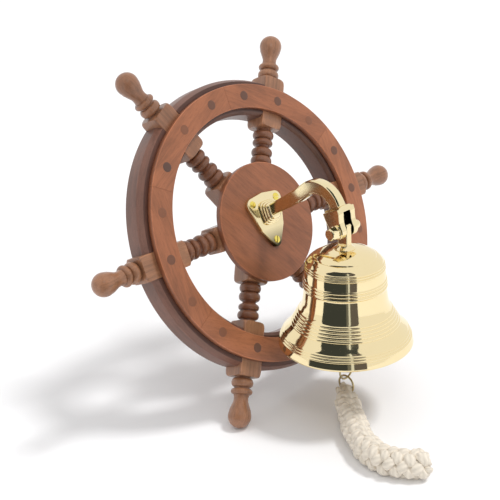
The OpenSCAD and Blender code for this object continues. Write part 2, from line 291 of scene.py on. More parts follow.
def wood(name, color, attribute, rough=0.42, coat=0.25, tones=(0.62, 1.3), gloss_grain=0.1):
    """Stained hardwood: streaks and pores along the grain, a tone for each piece, painted shade
    where the dark mark is set and painted highlights where the edge mark is set.
    """
    m = Maker(name, color)
    where = m.place(attribute)
    tone = m.number("tone")
    broad = m.noise(m.mapped(where, (16, 95, 95)), 1.0, 5, 0.6, 0.9)
    streak = m.noise(m.mapped(where, (38, 620, 620)), 1.0, 4, 0.65, 0.25)
    pores = m.noise(m.mapped(where, (170, 2600, 2600)), 1.0, 2, 0.5)
    cloud = m.noise(m.mapped(where, (26, 40, 40)), 1.0, 2, 0.5)
    level = broad * 0.5 + streak * 0.34 + cloud * 0.26 - 0.06
    low, high = tones
    stained = m.ramp(level, [
        (0.32, shade(color, low * 0.8)), (0.43, shade(color, 0.84)),
        (0.55, shade(color, 1.10)), (0.68, shade(color, high))])
    pore_mask = pores.above(0.60) * 0.35
    pored = m.mix(pore_mask, stained, shade(color, 0.45))
    toned = m.mix(tone, m.mix(1.0, pored, (0.84, 0.80, 0.78), "MULTIPLY"),
                  m.mix(1.0, pored, (1.14, 1.14, 1.12), "MULTIPLY"))
    # The dark mark darkens the wood towards deep brown: painted shade on sides, recesses and
    # grooves, and it also darkens the spokes' beads between hub and rim.
    toned = m.mix(m.number("dark"), toned, m.mix(1.0, toned, (0.50, 0.38, 0.34), "MULTIPLY"))
    # Painted highlight: the edge mark lightens the wood along bevels, chamfers and block corners.
    toned = m.mix(m.number("edge") * 0.6, toned, m.mix(1.0, toned, (1.7, 1.7, 1.75), "MULTIPLY"))
    m.surface(Base_Color=toned, Coat_Weight=coat, Coat_Roughness=0.25,
              Roughness=rough + gloss_grain * (streak - 0.5), Specular_IOR_Level=0.45)
    m.bump(streak * 0.6 + pores * 0.4, 0.00016, 0.5)
    return m.material


def brass(name, color, rough=0.11, lathe=False, tarnish=0.5):
    """Polished brass with faint buffing marks, round the axis where it was spun."""
    m = Maker(name, color)
    where = m.place()
    cloud = m.noise(where, 34, 4, 0.6)
    fine = m.noise(where, 900, 2, 0.5)
    darker = shade(color, 0.80)
    tinted = m.mix((cloud - 0.45) * tarnish, color, (darker[0], darker[1] * 0.94, darker[2] * 0.8))
    # Painted shade: points marked inside the bracket's fork slot turn near black.
    tinted = m.mix(m.number("patina"), tinted, (0.05, 0.045, 0.025))
    m.surface(Base_Color=tinted, Metallic=1.0,
              Roughness=rough + 0.10 * (cloud - 0.5) + 0.03 * (fine - 0.5))
    if lathe:
        spun = m.noise(m.mapped(where, (2, 2, 1500)), 1.0, 2, 0.5)
        m.bump(spun * 0.5 + cloud * 0.5, 0.00004, 0.35)
    else:
        m.bump(m.noise(where, 120, 3, 0.5), 0.00012, 0.35)
    return m.material


# --------------------------------------------------------------- mesh helpers


def mesh_piece(name, points, faces, smooth=True, attributes=None):
    """A new object from points and faces, with its point attributes."""
    mesh = bpy.data.meshes.new(name)
    mesh.from_pydata([tuple(p) for p in points], [], [tuple(f) for f in faces])
    for key, values in (attributes or {}).items():
        array = np.asarray(values, float)
        kind = "FLOAT" if array.ndim == 1 else "FLOAT_VECTOR"
        layer = mesh.attributes.new(key, kind, "POINT")
        layer.data.foreach_set("value" if kind == "FLOAT" else "vector", array.ravel())
    mesh.update()
    made = bpy.data.objects.new(name, mesh)
    bpy.context.scene.collection.objects.link(made)
    if smooth:
        mesh.shade_smooth()
    return made


def baked(made):
    """Applies an object's modifiers."""
    seen = made.evaluated_get(bpy.context.evaluated_depsgraph_get())
    mesh = bpy.data.meshes.new_from_object(seen)
    made.modifiers.clear()
    made.data = mesh
    return made


def outward(made, merge=1e-7):
    """Merges doubles and turns every face outwards."""
    bm = bmesh.new()
    bm.from_mesh(made.data)
    bmesh.ops.remove_doubles(bm, verts=bm.verts, dist=merge)
    bmesh.ops.recalc_face_normals(bm, faces=bm.faces)
    bm.to_mesh(made.data)
    bm.free()
    return made


def sharpen(made, degrees):
    """Smooth faces with sharp edges over an angle."""
    made.data.shade_smooth()
    made.data.set_sharp_from_angle(angle=math.radians(degrees))
    return made


def lathe(profile, segments, axis="Z"):
    """Points and faces of an outline of (radius, height) turned round Z, or moved onto X."""
    points, faces, rings = [], [], []
    for radius, height in profile:
        if radius < 1e-9:
            rings.append([len(points)])
            points.append((0, 0, height))
            continue
        rings.append(list(range(len(points), len(points) + segments)))
        for k in range(segments):
            a = 2 * math.pi * k / segments
            points.append((radius * math.cos(a), radius * math.sin(a), height))
    for lower, upper in zip(rings, rings[1:]):
        for k in range(segments):
            n = (k + 1) % segments
            if len(lower) == 1 and len(upper) == 1:
                continue
            if len(lower) == 1:
                faces.append((lower[0], upper[n], upper[k]))
            elif len(upper) == 1:
                faces.append((lower[k], lower[n], upper[0]))
            else:
                faces.append((lower[k], lower[n], upper[n], upper[k]))
    if axis == "X":
        points = [(z, x, y) for x, y, z in points]
    return points, faces


def rounded(profile, radius, steps=4):
    """Rounds the corners of an open outline."""
    out = [profile[0]]
    for before, here, after in zip(profile, profile[1:], profile[2:]):
        a, b, c = (np.array(p, float) for p in (before, here, after))
        cut = min(radius, np.linalg.norm(a - b) * 0.45, np.linalg.norm(c - b) * 0.45)
        start = b + (a - b) / max(np.linalg.norm(a - b), 1e-9) * cut
        stop = b + (c - b) / max(np.linalg.norm(c - b), 1e-9) * cut
        for k in range(steps + 1):
            t = k / steps
            out.append(tuple((1 - t) ** 2 * start + 2 * t * (1 - t) * b + t * t * stop))
    out.append(profile[-1])
    return out


def arc(centre, radius, start, stop, steps):
    return [
        (centre[0] + radius * math.cos(math.radians(start + (stop - start) * k / steps)),
         centre[1] + radius * math.sin(math.radians(start + (stop - start) * k / steps)))
        for k in range(steps + 1)
    ]


def swept(sections, closed_ends=True):
    """Points and faces of a skin through sections with the same number of points."""
    count = len(sections[0])
    points = [tuple(p) for section in sections for p in section]
    faces = []
    for i in range(len(sections) - 1):
        for k in range(count):
            n = (k + 1) % count
            faces.append((i * count + k, i * count + n, (i + 1) * count + n,
                          (i + 1) * count + k))
    if closed_ends:
        faces.append(tuple(reversed(range(count))))
        faces.append(tuple(range((len(sections) - 1) * count, len(sections) * count)))
    return points, faces


def join(name, parts, attributes=None):
    """One mesh piece from several lists of points and faces."""
    points, faces, values = [], [], {key: [] for key in (attributes or {})}
    for index, (part_points, part_faces) in enumerate(parts):
        offset = len(points)
        points += part_points
        faces += [tuple(v + offset for v in face) for face in part_faces]
        for key in values:
            values[key] += list(attributes[key][index])
    return mesh_piece(name, points, faces, True, values)


def dress(made, body, material, replaced=()):
    """Gives a finished piece its material, body, slot and CAD nodes."""
    if material is not None:
        made.data.materials.clear()
        made.data.materials.append(material)
    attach(made, body)
    if replaced:
        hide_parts(*replaced)
    return made


def paint_node(name, material):
    """Gives a CAD node that stays in sight its material."""
    node = frame["nodes"][name]
    node.data.materials.clear()
    node.data.materials.append(material)


# --------------------------------------------------------------- node helpers


class Tree:
    """A Geometry Nodes tree with named inputs."""

    def __init__(self, name, inputs):
        self.group = bpy.data.node_groups.new(name, "GeometryNodeTree")
        face = self.group.interface
        face.new_socket("Geometry", in_out="INPUT", socket_type="NodeSocketGeometry")
        self.ids = {}
        for label, kind in inputs.items():
            self.ids[label] = face.new_socket(
                label, in_out="INPUT", socket_type=kind).identifier
        face.new_socket("Geometry", in_out="OUTPUT", socket_type="NodeSocketGeometry")
        self.start = self.group.nodes.new("NodeGroupInput")
        self.end = self.group.nodes.new("NodeGroupOutput")

    def node(self, kind, settings=None, inputs=None):
        made = self.group.nodes.new(kind)
        for key, setting in (settings or {}).items():
            setattr(made, key, setting)
        for key, value in (inputs or {}).items():
            if isinstance(value, bpy.types.NodeSocket):
                self.group.links.new(value, made.inputs[key])
            else:
                made.inputs[key].default_value = value
        return made

    def given(self, label):
        return self.start.outputs[label]

    def finish(self, geometry, material):
        real = self.node("GeometryNodeRealizeInstances", {}, {"Geometry": geometry})
        painted = self.node("GeometryNodeSetMaterial", {}, {
            "Geometry": real.outputs["Geometry"], "Material": material})
        self.group.links.new(painted.outputs["Geometry"], self.end.inputs["Geometry"])
        return self

    def build(self, name, host, values):
        """Runs the tree on a host object and returns the result as a plain mesh piece."""
        holder = bpy.data.objects.new(name + "_host", host)
        bpy.context.scene.collection.objects.link(holder)
        modifier = holder.modifiers.new("nodes", "NODES")
        modifier.node_group = self.group
        for label, value in values.items():
            modifier[self.ids[label]] = value
        bpy.context.view_layer.update()
        seen = holder.evaluated_get(bpy.context.evaluated_depsgraph_get())
        mesh = bpy.data.meshes.new_from_object(seen)
        holder.modifiers.remove(modifier)
        bpy.data.objects.remove(holder)
        mesh.name = name
        made = bpy.data.objects.new(name, mesh)
        bpy.context.scene.collection.objects.link(made)
        return made


def ring_of_copies():
    """Copies of a piece at equal angles round the wheel's axis, each with its own tone."""
    tree = Tree("ring_of_copies", {
        "Piece": "NodeSocketObject", "Count": "NodeSocketInt",
        "First Angle": "NodeSocketFloat", "Radius": "NodeSocketFloat",
        "Seed": "NodeSocketInt", "Material": "NodeSocketMaterial"})
    points = tree.node("GeometryNodePoints", {}, {"Count": tree.given("Count")})
    index = tree.node("GeometryNodeInputIndex")
    turn = tree.node("ShaderNodeMath", {"operation": "DIVIDE"},
                     {0: 2 * math.pi, 1: tree.given("Count")})
    angle = tree.node("ShaderNodeMath", {"operation": "MULTIPLY_ADD"}, {
        0: index.outputs[0], 1: turn.outputs[0], 2: tree.given("First Angle")})
    clockwise = tree.node("ShaderNodeMath", {"operation": "MULTIPLY"},
                          {0: angle.outputs[0], 1: -1.0})
    euler = tree.node("ShaderNodeCombineXYZ", {}, {"Z": clockwise.outputs[0]})
    sine = tree.node("ShaderNodeMath", {"operation": "SINE"}, {0: angle.outputs[0]})
    cosine = tree.node("ShaderNodeMath", {"operation": "COSINE"}, {0: angle.outputs[0]})
    unit = tree.node("ShaderNodeCombineXYZ", {},
                     {"X": sine.outputs[0], "Y": cosine.outputs[0]})
    place = tree.node("ShaderNodeVectorMath", {"operation": "SCALE"},
                      {0: unit.outputs[0], "Scale": tree.given("Radius")})
    moved = tree.node("GeometryNodeSetPosition", {}, {
        "Geometry": points.outputs[0], "Position": place.outputs[0]})
    piece = tree.node("GeometryNodeObjectInfo", {}, {"Object": tree.given("Piece")})
    rotation = tree.node("FunctionNodeEulerToRotation", {}, {0: euler.outputs[0]})
    copies = tree.node("GeometryNodeInstanceOnPoints", {}, {
        "Points": moved.outputs[0], "Instance": piece.outputs["Geometry"],
        "Rotation": rotation.outputs[0]})
    chance = tree.node("FunctionNodeRandomValue", {"data_type": "FLOAT"},
                       {"Seed": tree.given("Seed")})
    toned = tree.node("GeometryNodeStoreNamedAttribute",
                      {"data_type": "FLOAT", "domain": "INSTANCE"}, {
                          "Geometry": copies.outputs[0], "Name": "tone",
                          "Value": chance.outputs[1]})
    return tree.finish(toned.outputs[0], tree.given("Material"))


def set_copies():
    """Copies of a piece on the points of a mesh, turned by each point's own angle."""
    tree = Tree("set_copies", {
        "Piece": "NodeSocketObject", "Material": "NodeSocketMaterial"})
    piece = tree.node("GeometryNodeObjectInfo", {}, {"Object": tree.given("Piece")})
    spin = tree.node("GeometryNodeInputNamedAttribute", {"data_type": "FLOAT"},
                     {"Name": "turn"})
    euler = tree.node("ShaderNodeCombineXYZ", {}, {"Z": spin.outputs[0]})
    rotation = tree.node("FunctionNodeEulerToRotation", {}, {0: euler.outputs[0]})
    points = tree.node("GeometryNodeMeshToPoints", {},
                       {"Mesh": tree.given("Geometry")})
    copies = tree.node("GeometryNodeInstanceOnPoints", {}, {
        "Points": points.outputs[0], "Instance": piece.outputs["Geometry"],
        "Rotation": rotation.outputs[0]})
    return tree.finish(copies.outputs[0], tree.given("Material"))


def round_the_wheel(name, pattern, count, first, radius, seed, material):
    """A pattern piece in the wheel frame, copied round the wheel and put in place."""
    host = bpy.data.meshes.new(name + "_host")
    made = ring_of_copies().build(name, host, {
        "Piece": pattern, "Count": count, "First Angle": math.radians(first),
        "Radius": radius, "Seed": seed, "Material": material})
    bpy.data.objects.remove(pattern)
    made.data.transform(TO_ROW)
    return made


# ---------------------------------------------------------------------- wheel


def bead(core, radius, middle, half_width, steps=10):
    return [
        (middle - half_width * math.cos(math.pi * k / steps),
         core + (radius - core) * math.sin(math.pi * k / steps), False)
        for k in range(steps + 1)
    ]


def block_end(stop, inwards, steps=8, depth=7 * MM):
    """Stations where the square stock's corners are turned round."""
    corner = HALF_STOCK * math.sqrt(2) - 0.5 * MM
    out = []
    for k in range(steps + 1):
        t = k / steps
        reach = 11.5 * MM + (corner - 11.5 * MM) * math.sqrt(1 - (1 - t) ** 2)
        out.append((stop - inwards * depth * t * t, reach, True))
    return out if inwards < 0 else list(reversed(out))


def spoke_stations(p):
    core = p.neck_radius + 0.5 * MM
    reach = HALF_STOCK * math.sqrt(2) - 0.5 * MM
    hub_end, rim_in, rim_out = 61 * MM, 100 * MM, 154 * MM
    knob = p.tip_radius - p.knob_radius
    line = [(0.3 * MM, reach, True), (21.65 * MM, reach, True)]
    line += block_end(hub_end, 1)
    line += [(hub_end, core, False)]
    line += bead(core, p.bead_radius, 66 * MM, 4.5 * MM)
    line += bead(core, p.bead_radius, 74.8 * MM, 4.3 * MM)
    line += [(80.5 * MM, p.neck_radius - 0.5 * MM, False)]
    line += bead(core, p.bead_radius - 0.4 * MM, 85.3 * MM, 3.2 * MM)
    line += bead(core, p.bead_radius, 93.4 * MM, 4.2 * MM)
    line += [(rim_in, core, False)]
    line += block_end(rim_in, -1)
    line += block_end(rim_out, 1)
    line += [(rim_out, core, False)]
    line += bead(core, p.bead_radius, 159.5 * MM, 4.3 * MM)
    line += bead(core, p.bead_radius - 0.2 * MM, 168 * MM, 3 * MM)
    grip = [(172 * MM, core), (174.5 * MM, p.neck_radius), (177.5 * MM, p.neck_radius + 0.2 * MM),
            (181.5 * MM, p.knob_radius - 2.6 * MM), (186 * MM, p.knob_radius - 0.9 * MM)]
    line += [(s, r, False) for s, r in grip]
    line += [(knob + p.knob_radius * math.sin(math.radians(a)),
              max(p.knob_radius * math.cos(math.radians(a)), 0.02 * MM), False)
             for a in range(-18, 91, 9)]
    return line


def spoke_pattern(p):
    side = 14
    ring = [(-1 + 2 * k / side, 1.0) for k in range(side)]
    ring += [(1.0, 1 - 2 * k / side) for k in range(side)]
    ring += [(1 - 2 * k / side, -1.0) for k in range(side)]
    ring += [(-1.0, -1 + 2 * k / side) for k in range(side)]
    sections = []
    for s, reach, square in spoke_stations(p):
        wide = min(HALF_STOCK, s * math.tan(math.pi / SPOKES)) if square else reach * 1.5
        deep = HALF_STOCK if square else reach * 1.5
        section = []
        for u, v in ring:
            x, z = u * wide, v * deep
            away = math.hypot(x, z)
            if away > reach:
                x, z = x * reach / away, z * reach / away
            section.append((x, s, z))
        sections.append(section)
    points, faces = swept(sections)
    grain = [(y, x, z) for x, y, z in points]
    dark = []
    for s, reach, square in spoke_stations(p):
        # The beads between hub and rim are darkened; the narrow grooves between beads get painted
        # shade.
        inner = 0.75 if 61.5 * MM < s < 99 * MM else 0.0
        painted_groove_shade = 0.3 if not square and reach < 8 * MM and s < 172 * MM else 0.0
        dark += [min(1.0, inner + painted_groove_shade)] * (4 * side)
    # Painted highlight: the corners of the square blocks are lightened.
    corner = [1.0 if k % side == 0 else 0.0 for k in range(4 * side)]
    edge = []
    for s, reach, square in spoke_stations(p):
        edge += [value * float(square) * 0.8 for value in corner]
    made = mesh_piece("spoke_pattern", points, faces, True,
                      {"grain": grain, "dark": dark, "edge": edge})
    outward(made, 1e-6)
    return sharpen(made, 32)


def ring_pattern(name, outline, spread, steps, half_gap=0.0, marks=None):
    """A piece of a ring about Z: an outline of (radius, height) swept each side of +Y."""
    sections = []
    for k in range(steps + 1):
        t = -1 + 2 * k / steps
        section = []
        for radius, height in outline:
            reach = spread - math.asin(half_gap / radius)
            section.append((radius * math.sin(t * reach), radius * math.cos(t * reach), height))
        sections.append(section)
    points, faces = swept(sections)
    # The grain is straight, as in a board that the piece was sawn from
    values = {"grain": [tuple(point) for point in points]}
    for key, mark in (marks or {}).items():
        values[key] = [mark(radius, height) for radius, height in outline] * (steps + 1)
    made = mesh_piece(name, points, faces, True, values)
    outward(made, 1e-6)
    return sharpen(made, 25)


def closed_rounded(outline, radius, steps=3):
    loop = outline + outline[:2]
    return rounded(loop, radius, steps)[1:-1]


class SHIPBELL_OT_wheel(bpy.types.Operator):
    """Turned spokes, felloes, facing ring and dowel plugs"""

    bl_idname = "shipbell.wheel"
    bl_label = "Wheel"

    def execute(self, context):
        p = context.scene.shipbell_wheel
        turned = wood("turned_wood", tuple(p.turned_color), "grain", 0.36, 0.45)
        rim = wood("rim_wood", tuple(p.rim_color), "grain", 0.45, 0.2)
        face = wood("face_wood", tuple(p.face_color), "grain", 0.44, 0.2, (0.8, 1.22))
        plug = self.plug_wood(tuple(p.plug_color), tuple(p.face_color))

        spokes = round_the_wheel("turned_spokes", spoke_pattern(p), SPOKES, 30, 0.0, 3, turned)
        dress(spokes, WHEEL, None,
              ["spoke_%d" % i for i in range(1, SPOKES + 1)])

        bevel = 3.5 * MM
        half = HALF_STOCK
        felloe = closed_rounded([
            (p.rim_inner, -half), (p.rim_outer, -half), (p.rim_outer, 5 * MM),
            (p.rim_outer - bevel, half), (p.rim_inner + bevel, half),
            (p.rim_inner, half - bevel)], 0.7 * MM)
        felloes = round_the_wheel(
            "rim_felloes",
            ring_pattern("felloe_pattern", felloe, math.pi / SPOKES, 28, half, {
                # Painted shade on the felloe's front face round the facing ring, and a little on
                # the rest; painted highlight on the outer bevel.
                "dark": lambda r, z: 0.85 if z > half - 0.3 * MM else 0.1,
                "edge": lambda r, z: float(3 * MM < z < half - 0.3 * MM and r > 140 * MM) * 0.6,
            }),
            SPOKES, 0, 0.0, 11, rim)
        dress(felloes, WHEEL, None, ["felloe_%d" % i for i in range(1, SPOKES + 1)])

        top = half + p.face_thickness
        facing = closed_rounded([
            (p.face_inner, half), (p.face_outer, half), (p.face_outer, top),
            (p.face_inner, top)], 0.9 * MM)
        facings = round_the_wheel(
            "facing_ring",
            ring_pattern("facing_pattern", facing, math.pi / SPOKES - 0.0008, 36, 0.0, {
                # Painted shade on the facing ring's sides; painted highlight along the rounded
                # edges of its face.
                "dark": lambda r, z: 0.55 if z < top - 1.2 * MM else 0.0,
                "edge": lambda r, z: float(top - 0.75 * MM < z < top - 0.02 * MM),
            }),
            SPOKES, 30, 0.0, 5, face)
        dress(facings, WHEEL, None,
              ["face_segment_%d" % i for i in range(1, SPOKES + 1)])

        r = p.plug_radius
        outline = [(0, -1.2 * MM), (r, -1.2 * MM), (r, 0.02 * MM), (r - 0.25 * MM, 0.09 * MM),
                   (r * 0.5, 0.13 * MM), (0, 0.14 * MM)]
        points, faces = lathe([(a, b + top) for a, b in outline], 28)
        pattern = mesh_piece("plug_pattern", points, faces, True,
                             {"grain": [(z, x, y) for x, y, z in points]})
        outward(pattern)
        plugs = round_the_wheel("dowel_plugs", pattern, p.plugs, 30 - 360 / p.plugs,
                                (p.face_inner + p.face_outer) / 2, 8, plug)
        dress(plugs, WHEEL, None, ["rim_plugs"])
        return {"FINISHED"}

    def plug_wood(self, dark, light):
        """End grain, dark or nearly as light as the ring."""
        m = Maker("plug_wood", dark)
        speck = m.noise(m.mapped(m.place("grain"), (60, 900, 900)), 1.0, 3, 0.6)
        mixed = m.mix(m.number("tone"), dark, shade(light, 0.86))
        m.surface(Base_Color=m.mix(speck * 0.5, mixed, shade(dark, 0.7)), Roughness=0.5,
                  Coat_Weight=0.1, Coat_Roughness=0.3)
        m.bump(speck, 0.0001, 0.4)
        return m.material


class SHIPBELL_OT_hub(bpy.types.Operator):
    """Front and back hub discs with the hanging plate"""

    bl_idname = "shipbell.hub"
    bl_label = "Hub"

    def execute(self, context):
        p = context.scene.shipbell_wheel
        face = wood("hub_wood", shade(tuple(p.face_color), 0.9), "grain", 0.44, 0.2, (0.78, 1.25))
        base, top = HALF_STOCK, HALF_STOCK + p.hub_thickness
        outline = rounded([(0, base), (p.hub_radius, base), (p.hub_radius, top),
                           (p.hub_radius * 0.5, top), (0, top)], 1.1 * MM)
        points, faces = lathe(outline, 144)
        turn = math.radians(-38)
        grain = [(x * math.sin(turn) + y * math.cos(turn),
                  x * math.cos(turn) - y * math.sin(turn), z) for x, y, z in points]
        disc = mesh_piece("hub_disc", points, faces, True, {
            "grain": grain, "tone": [0.6] * len(points),
            # Painted highlight round the front rim of the disc; painted shade on its side.
            "edge": [float(math.hypot(x, y) > p.hub_radius - 0.9 * MM and z > top - 0.8 * MM)
                     for x, y, z in points],
            "dark": [0.5 * float(z < top - 1.3 * MM) for x, y, z in points]})
        outward(disc)
        sharpen(disc, 35)
        disc.data.transform(TO_ROW)
        dress(disc, WHEEL, face, ["hub_front_disc"])
        back = wood("back_wood", tuple(p.rim_color), None, 0.5, 0.1)
        paint_node("hub_back_disc", back)
        zinc = Maker("zinc_steel", (0.55, 0.56, 0.57))
        spangle = zinc.noise(zinc.place(), 260, 3, 0.6)
        zinc.surface(Base_Color=zinc.ramp(spangle, [(0.3, (0.38, 0.39, 0.40)),
                                                    (0.7, (0.62, 0.63, 0.64))]),
                     Metallic=1.0, Roughness=0.32 + 0.25 * (spangle - 0.5))
        for name in ("hanger_plate", "hanger_screws"):
            paint_node(name, zinc.material)
        return {"FINISHED"}


# -------------------------------------------------------------------- bracket


def remeshed(made, voxel, smooth_steps):
    """Fuses overlapping shells into one cast skin with eased edges."""
    grow = made.modifiers.new("fuse", "REMESH")
    grow.mode = "VOXEL"
    grow.voxel_size = voxel
    ease = made.modifiers.new("ease", "SMOOTH")
    ease.factor = 0.5
    ease.iterations = smooth_steps
    baked(made)
    made.data.shade_smooth()
    return made


def prism(outline, low, high):
    """A closed outline of (a, b) extruded from low to high along the third axis."""
    return swept([[(a, b, low) for a, b in outline], [(a, b, high) for a, b in outline]])


def tangent_outline(circles, steps=14):
    """The convex outline round circles (x, y, radius), given anticlockwise."""
    out = []
    count = len(circles)
    for i, (x, y, r) in enumerate(circles):
        xa, ya, ra = circles[i - 1]
        xb, yb, rb = circles[(i + 1) % count]

        def lean(x0, y0, r0, x1, y1, r1):
            away = math.hypot(x1 - x0, y1 - y0)
            return math.atan2(y1 - y0, x1 - x0) - math.acos((r0 - r1) / away)

        start = lean(xa, ya, ra, x, y, r)
        stop = lean(x, y, r, xb, yb, rb)
        while stop < start:
            stop += 2 * math.pi
        out += [(x + r * math.cos(start + (stop - start) * k / steps),
                 y + r * math.sin(start + (stop - start) * k / steps))
                for k in range(steps + 1)]
    return out


def arm_sections():
    """Sections of the arm in the wheel frame, a flat bar with eased edges."""
    line = [(22, 8.5), (30, 9.8), (45, 12.3), (60, 14.5), (74, 17)]
    line += arc((94, -2), 23.5, 108, 0, 18)
    line += [(117.9, -4), (118, -6)]
    line = [np.array(p) * MM for p in line]
    sections = []
    for i, here in enumerate(line):
        along = line[min(i + 1, len(line) - 1)] - line[max(i - 1, 0)]
        along /= np.linalg.norm(along)
        side = np.array([-along[1], along[0]])
        deep = (5.2 + 1.6 * min(i / 4, 1.0)) * MM
        wide = 5 * MM
        ease = 1.3 * MM
        ring = [(-wide, deep - ease), (-wide + ease, deep), (wide - ease, deep),
                (wide, deep - ease), (wide, -deep + ease), (wide - ease, -deep),
                (-wide + ease, -deep), (-wide, -deep + ease)]
        sections.append([(x, *(here + side * h)[::-1]) for x, h in ring])
    return sections


def collar_sections(plate_top):
    """The stepped moulding round the arm's root, rounded rectangles that get smaller."""
    steps = [(-0.5, 1.0), (2.0, 1.0), (2.8, 0.97), (3.1, 0.88), (4.6, 0.89), (5.3, 0.86),
             (5.6, 0.76), (7.0, 0.77), (7.7, 0.74), (8.0, 0.64), (9.2, 0.65), (9.9, 0.61),
             (10.4, 0.50)]
    sections = []
    for rise, scale in steps:
        section = []
        for k in range(48):
            a = 2 * math.pi * k / 48
            x, y = math.cos(a), math.sin(a)
            reach = (abs(x) ** 4 + abs(y) ** 4) ** -0.25
            section.append((x * reach * 10.5 * scale * MM, (8.5 + y * reach * 12 * scale) * MM,
                            plate_top + rise * MM))
        sections.append(section)
    return sections


class SHIPBELL_OT_bracket(bpy.types.Operator):
    """Cast bracket with its arm and fork, its screws, pivot pin and nut"""

    bl_idname = "shipbell.bracket"
    bl_label = "Bracket"

    def execute(self, context):
        p = context.scene.shipbell_bell
        metal = brass("cast_brass", tuple(p.cast_color), 0.12)
        yellow = brass("screw_brass", tuple(p.screw_color), 0.2)
        hub_face = HALF_STOCK + context.scene.shipbell_wheel.hub_thickness
        plate_top = hub_face + PLATE_THICKNESS
        corners = [(-15.5, 19.5, 7.5), (-8, -4, 8), (0, -20.5, 6), (8, -4, 8),
                   (15.5, 19.5, 7.5), (0, 21.5, 7.5)]

        def outline(inset):
            return tangent_outline([(x * MM, y * MM, (r - inset) * MM) for x, y, r in corners])

        plate = swept([[(x, y, height) for x, y in outline(inset)] for inset, height in (
            (0, hub_face), (0, plate_top - 1.2 * MM), (0.4, plate_top - 0.3 * MM),
            (1.2, plate_top))])
        collar = swept(collar_sections(plate_top))
        parts = [swept(arm_sections())]
        # The fork is drawn from the side: (front, up), extruded along X
        parts.append(self.fork_top())
        for low, high in ((-11, -4.5), (4.5, 11)):
            parts.append(self.leg(low * MM, high * MM))
        limbs = join("limbs", parts)
        outward(limbs)
        remeshed(limbs, 0.42 * MM, 4)
        skin = ([tuple(v.co) for v in limbs.data.vertices],
                [tuple(face.vertices) for face in limbs.data.polygons])
        bpy.data.objects.remove(limbs)
        cast = join("cast_bracket", [skin, plate, collar])
        outward(cast)
        sharpen(cast, 38)
        # Painted shade: near black on points within 5.1 mm of the middle, below the fork's bridge
        # and short of its front face, which takes in the fork's slot.
        patina = cast.data.attributes.new("patina", "FLOAT", "POINT")
        patina.data.foreach_set("value", [
            float(abs(v.co.x) < 5.1 * MM and v.co.y < -7 * MM and v.co.z < 126.2 * MM)
            for v in cast.data.vertices])
        cast.data.transform(TO_ROW)
        dress(cast, WHEEL, metal, ["wall_bracket"])

        r = 3.7 * MM
        dome = [(0, -1.6 * MM), (1.7 * MM, -1.6 * MM), (r, -0.1 * MM), (r, 0.15 * MM)]
        dome += [(r * math.cos(math.radians(a)), 0.15 * MM + 0.75 * MM * math.sin(math.radians(a)))
                 for a in range(15, 91, 15)]
        dome[-1] = (0, 0.9 * MM)
        points, faces = lathe(dome, 36)
        screw = mesh_piece("screw_pattern", points, faces)
        outward(screw)
        slot = mesh_piece("slot_cutter", *prism(
            [(-6 * MM, -0.45 * MM), (6 * MM, -0.45 * MM), (6 * MM, 0.45 * MM),
             (-6 * MM, 0.45 * MM)], -0.2 * MM, 3 * MM), False)
        outward(slot)
        cut = screw.modifiers.new("slot", "BOOLEAN")
        cut.object, cut.operation, cut.solver = slot, "DIFFERENCE", "EXACT"
        baked(screw)
        sharpen(screw, 30)
        bpy.data.objects.remove(slot)
        spots = [(-16 * MM, 20.5 * MM, plate_top), (16 * MM, 20.5 * MM, plate_top),
                 (0, -19.5 * MM, plate_top)]
        host = mesh_piece("spots", spots, [], False,
                          {"turn": [math.radians(a) for a in (50, -20, 65)]})
        screws = set_copies().build("plate_screws", host.data,
                                    {"Piece": screw, "Material": yellow})
        bpy.data.objects.remove(host)
        bpy.data.objects.remove(screw)
        screws.data.transform(TO_ROW)
        dress(screws, WHEEL, None, ["bracket_screws"])

        ball = [(0, -20.5 * MM), (2.5 * MM, -20.5 * MM), (2.5 * MM, 11 * MM), (3.6 * MM, 11 * MM)]
        ball += [(r0, x0) for x0, r0 in arc((16 * MM, 0), 4.3 * MM, 123, 0, 14)]
        ball[-1] = (0, 20.3 * MM)
        points, faces = lathe(ball, 32, "X")
        pin = mesh_piece("pivot_pin_piece", points, faces)
        outward(pin)
        sharpen(pin, 35)
        pin.data.transform(AT_PIN)
        dress(pin, WHEEL, metal, ["pivot_pin"])

        nut = self.nut()
        nut.data.transform(AT_PIN)
        dress(nut, WHEEL, metal, ["pin_nut"])
        return {"FINISHED"}

    def fork_top(self):
        """The bridge of the fork, with round shoulders."""
        half, top, low, round_r = 11, -2.5, -8, 7
        shoulder = arc((half - round_r, top - round_r), round_r, 52, 90, 8)
        line = [(half, low)] + [(half - 0.2, -6.5)] + shoulder
        outline = [(x * MM, y * MM) for x, y in line]
        outline += [(-x, y) for x, y in reversed(outline)]
        return prism(outline, 107 * MM, 127 * MM)

    def leg(self, low, high):
        """A leg of the fork, tapered and rounded round the pin, its front edge waisted."""
        front, up, end = 117, -24, 7.5
        line = arc((front, up), end, 180, 360, 20)
        line += [(front + 7.2, up + 3), (front + 7.4, up + 7), (front + 8.6, up + 11),
                 (front + 10, up + 15), (front + 10, -4.5)]
        line += [(front - 10, -4.5), (front - 9.4, up + 11), (front - 8, up + 3)]
        points, faces = prism([(a * MM, b * MM) for a, b in line], low, high)
        return [(x, height, reach) for reach, height, x in points], faces

